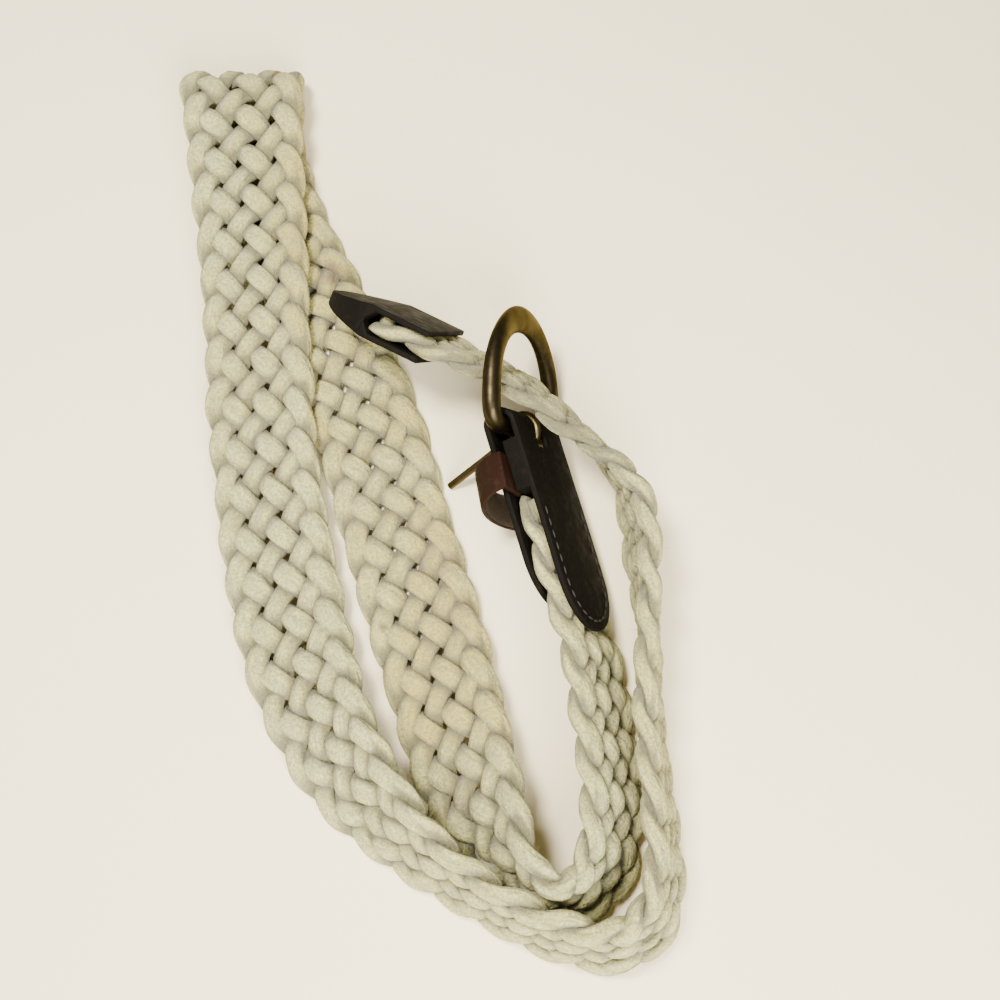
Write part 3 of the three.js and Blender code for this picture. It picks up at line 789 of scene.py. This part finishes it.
class WOVENBELT_OT_stitches(bpy.types.Operator):
    """Sews the tab to the strap"""
    bl_idname = "woven_belt.stitches"
    bl_label = "Stitches"

    def execute(self, context):
        settings = context.scene.woven_belt_leather
        thread = Graph("thread").finish(Base_Color=tuple(settings.thread), Roughness=0.8)
        pitch, inset = settings.pitch / MM, settings.inset / MM
        rows = (
            ("tab_back_stitches", BACK_LEAF, -OUTER_FACE),
            ("tab_front_stitches", FRONT_LEAF, OUTER_FACE),
        )
        for name, long, out in rows:
            self.sew(name, outline_path(long, inset), out, pitch, thread)
        return {"FINISHED"}

    @staticmethod
    def sew(name, path, out, pitch, thread):
        """Copies one stitch along a path on a leaf's face and joins the copies."""
        arc = np.concatenate([[0], np.cumsum(np.linalg.norm(np.diff(path, axis=0), axis=1))])
        made = []
        deselect()
        bpy.ops.mesh.primitive_uv_sphere_add(segments=8, ring_count=6, radius=1)
        first = bpy.context.object
        first.scale = (pitch * STITCH_HALF_LENGTH * MM, STITCH_HALF_WIDTH * MM,
                       STITCH_HALF_HEIGHT * MM)
        bpy.ops.object.transform_apply(location=False, rotation=False, scale=True)
        for distance in np.arange(pitch / 2, arc[-1], pitch):
            along, side = (np.interp(distance, arc, path[:, i]) for i in (0, 1))
            ahead, beside = (np.interp(distance + 0.5, arc, path[:, i]) for i in (0, 1))
            direction = TAB.u * (ahead - along) + TAB.v * (beside - side)
            if direction.length < 1e-6:
                continue
            copy = first.copy()
            copy.data = first.data.copy()
            copy.matrix_world = TAB.matrix(along, side, out, direction)
            bpy.context.scene.collection.objects.link(copy)
            made.append(copy)
        bpy.data.objects.remove(first)
        choose(*made)
        bpy.ops.object.join()
        obj = bpy.context.object
        bpy.ops.object.shade_smooth()
        settle(obj, name, thread)
        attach(obj, ROOT)


class WOVENBELT_OT_metal(bpy.types.Operator):
    """Smooths the buckle's frame and prong and gives them antique brass"""
    bl_idname = "woven_belt.metal"
    bl_label = "Brass"

    def execute(self, context):
        settings = context.scene.woven_belt_metal
        dulled = brass_material("brass", settings.brass, settings.patina)
        rubbed = brass_material("rubbed_brass", settings.rubbed, settings.brass)
        for node, name, body, material in (
            ("buckle_frame", "brass_frame", "frame", dulled),
            ("prong", "brass_prong", "prong", rubbed),
        ):
            obj = node_copy(node)
            bpy.ops.object.mode_set(mode="EDIT")
            bpy.ops.mesh.tris_convert_to_quads(face_threshold=math.radians(30))
            bpy.ops.object.mode_set(mode="OBJECT")
            if node == "buckle_frame":
                smooth = obj.modifiers.new("smooth", "SUBSURF")
                smooth.levels = smooth.render_levels = 2
                bpy.ops.object.modifier_apply(modifier=smooth.name)
            bpy.ops.object.shade_smooth_by_angle(angle=math.radians(50))
            settle(obj, name, material)
            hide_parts(node)
            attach(obj, body)
        return {"FINISHED"}


class WOVENBELT_OT_fibres(bpy.types.Operator):
    """Adds the loose fibres that stand off the cotton"""
    bl_idname = "woven_belt.fibres"
    bl_label = "Stray fibres"

    def execute(self, context):
        settings = context.scene.woven_belt_strap
        rng = np.random.default_rng(7)
        places, middle, along, across, normal, half = strap_frames()
        count = settings.fibres
        at = rng.integers(FIBRE_ENDS[0], len(places) - FIBRE_ENDS[1], count)
        edge = rng.choice([-1, 1], count) * (rng.random(count) < FIBRES_ON_EDGES)
        theta = np.where(edge != 0, rng.uniform(-FIBRE_FAN, FIBRE_FAN, count), 0)
        face = rng.choice([-1, 1], count)
        on_face = rng.uniform(-FACE_ROOTS[0], FACE_ROOTS[0], count) * half[at]
        side = np.where(edge != 0, edge * (half[at] - EDGE_ROOTS[0]), on_face)
        out = np.where(edge != 0, EDGE_ROOTS[1] * np.sin(theta), FACE_ROOTS[1] * face)
        start = middle[at] + across[at] * side[:, None] + normal[at] * out[:, None]
        rise = np.where(edge != 0, np.sin(theta), face * FACE_RISE)
        leave = across[at] * (edge * np.cos(theta))[:, None] + normal[at] * rise[:, None]
        lean = along[at] * rng.normal(0, FIBRE_LEAN, count)[:, None]
        lean = lean + rng.normal(0, FIBRE_SPREAD, (count, 3))
        reach = rng.uniform(*FIBRE_REACH, count) ** FIBRE_REACH_POWER
        way = unit(leave + lean) * reach[:, None]
        curl = unit(rng.normal(0, 1, (count, 3))) * (reach * FIBRE_CURL)[:, None]
        share = np.linspace(0, 1, FIBRE_POINTS)[None, :, None]
        lines = start[:, None] + way[:, None] * share + curl[:, None] * share ** 2
        lines[..., 2] = np.maximum(lines[..., 2], FIBRE_FLOOR)
        lines = lines[from_bar(start) > FIBRES_FROM]
        self.hairs(row_frame(lines), settings)
        return {"FINISHED"}

    @staticmethod
    def hairs(lines, settings):
        """Rolls one long grid up round all the lines, three sides to a hair, and takes out the
        faces that join one hair to the next."""
        count, steps, _ = lines.shape
        obj, angle, ring = grid_to_roll(3, count * steps)
        points = lines.reshape(-1, 3)
        direction = unit(np.gradient(lines, axis=1).reshape(-1, 3))
        helper = np.where(np.abs(direction[:, 2:]) < 0.8, [[0, 0, 1.0]], [[1.0, 0, 0]])
        across = unit(np.cross(direction, helper))
        out = np.cross(direction, across)
        radius = np.tile(np.linspace(*FIBRE_RADII, steps), count) * MM
        placed = points[ring] + (across[ring] * np.cos(angle)[:, None]
                                 + out[ring] * np.sin(angle)[:, None]) * radius[ring][:, None]
        obj.data.vertices.foreach_set("co", placed.ravel())
        choose(obj)
        bpy.ops.object.mode_set(mode="EDIT")
        bpy.ops.mesh.select_all(action="DESELECT")
        bpy.ops.object.mode_set(mode="OBJECT")
        owner = ring // steps
        for face in obj.data.polygons:
            face.select = len({owner[i] for i in face.vertices}) > 1
        bpy.ops.object.mode_set(mode="EDIT")
        bpy.ops.mesh.select_mode(type="FACE")
        bpy.ops.mesh.delete(type="FACE")
        bpy.ops.object.mode_set(mode="OBJECT")
        close_tube(obj)
        fibre = Graph("fibre").finish(
            Base_Color=tuple(settings.shade), Roughness=0.9, Specular_IOR_Level=0.2)
        settle(obj, "stray_fibres", fibre)
        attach(obj, ROOT)


FLOOR_SIZE = 4.0        # metres
FLOOR_SHADE = 0.94      # the darkest places of the floor, as a share of its colour
LIGHTS = (      # name, place in metres, size in metres, colour
    ("key", (-0.14, 0.05, 0.60), 0.14, (1.0, 0.965, 0.90)),
    ("fill", (0.14, -0.42, 0.38), 0.36, (1.0, 0.975, 0.92)),
)
SKY = (1.0, 0.98, 0.94, 1)
SKY_STRENGTH = 0.40
CAMERA_PLACE = (0.0251, -0.09905, 0.3360)
CAMERA_TILT = math.radians(15.7)    # from straight down
CAMERA_LENS = 43.2
CAMERA_SENSOR = 36


class WOVENBELT_OT_stage(bpy.types.Operator):
    """Adds the floor, the lights and the camera"""
    bl_idname = "woven_belt.stage"
    bl_label = "Stage"

    def execute(self, context):
        settings = context.scene.woven_belt_stage
        deselect()
        bpy.ops.mesh.primitive_plane_add(size=FLOOR_SIZE, location=(0, 0, 0))
        floor = context.object
        floor.name = "floor"
        graph = Graph("floor")
        cloud = graph.noise(graph.coordinate("Object"), 14.0, 3.0)
        tone = graph.mix(graph.band(cloud, 0.3, 0.7, 0.0, 0.25), tuple(settings.floor),
                         tuple(FLOOR_SHADE * c for c in settings.floor))
        floor.data.materials.append(graph.finish(Base_Color=tone, Roughness=0.85))
        for name, spot, size, tint in LIGHTS:
            bpy.ops.object.light_add(type="AREA", location=spot)
            light = context.object
            light.name = name
            light.data.size = size
            light.data.energy = getattr(settings, name)
            light.data.color = tint
            light.rotation_euler = (-Vector(spot)).to_track_quat("-Z", "Y").to_euler()
        world = context.scene.world or bpy.data.worlds.new("world")
        context.scene.world = world
        world.use_nodes = True
        sky = world.node_tree.nodes["Background"].inputs
        sky["Color"].default_value = SKY
        sky["Strength"].default_value = SKY_STRENGTH
        bpy.ops.object.camera_add(location=CAMERA_PLACE, rotation=(CAMERA_TILT, 0, 0))
        camera = context.object
        camera.name = "photo_camera"
        camera.data.sensor_width = CAMERA_SENSOR
        camera.data.lens = CAMERA_LENS
        camera.data.clip_start = 0.01
        context.scene.camera = camera
        return {"FINISHED"}


OPERATORS = (
    WOVENBELT_OT_strap,
    WOVENBELT_OT_leather,
    WOVENBELT_OT_stitches,
    WOVENBELT_OT_metal,
    WOVENBELT_OT_fibres,
    WOVENBELT_OT_stage,
)
GROUPS = {
    "woven_belt_strap": WovenBeltStrap,
    "woven_belt_leather": WovenBeltLeather,
    "woven_belt_metal": WovenBeltMetal,
    "woven_belt_stage": WovenBeltStage,
}


class WOVENBELT_PT_panel(bpy.types.Panel):
    """The belt's sizes, colours and pieces"""
    bl_idname = "WOVENBELT_PT_panel"
    bl_label = "Woven Belt"
    bl_space_type = "VIEW_3D"
    bl_region_type = "UI"
    bl_category = "Woven Belt"

    def draw(self, context):
        for name, group in GROUPS.items():
            box = self.layout.box()
            for prop in group.__annotations__:
                box.prop(getattr(context.scene, name), prop)
        for operator in OPERATORS:
            self.layout.operator(operator.bl_idname)


def register():
    """Registers the classes and gives the scene its settings."""
    for cls in (*GROUPS.values(), *OPERATORS, WOVENBELT_PT_panel):
        bpy.utils.register_class(cls)
    for name, group in GROUPS.items():
        setattr(bpy.types.Scene, name, bpy.props.PointerProperty(type=group))


def unregister():
    """Takes back what register did."""
    for name in GROUPS:
        delattr(bpy.types.Scene, name)
    for cls in (WOVENBELT_PT_panel, *OPERATORS[::-1], *list(GROUPS.values())[::-1]):
        bpy.utils.unregister_class(cls)


def main():
    """Builds the stage and the belt."""
    register()
    bpy.ops.woven_belt.stage()
    bpy.ops.woven_belt.strap()
    bpy.ops.woven_belt.leather()
    bpy.ops.woven_belt.stitches()
    bpy.ops.woven_belt.metal()
    bpy.ops.woven_belt.fibres()


if __name__ == "__main__":
    main()
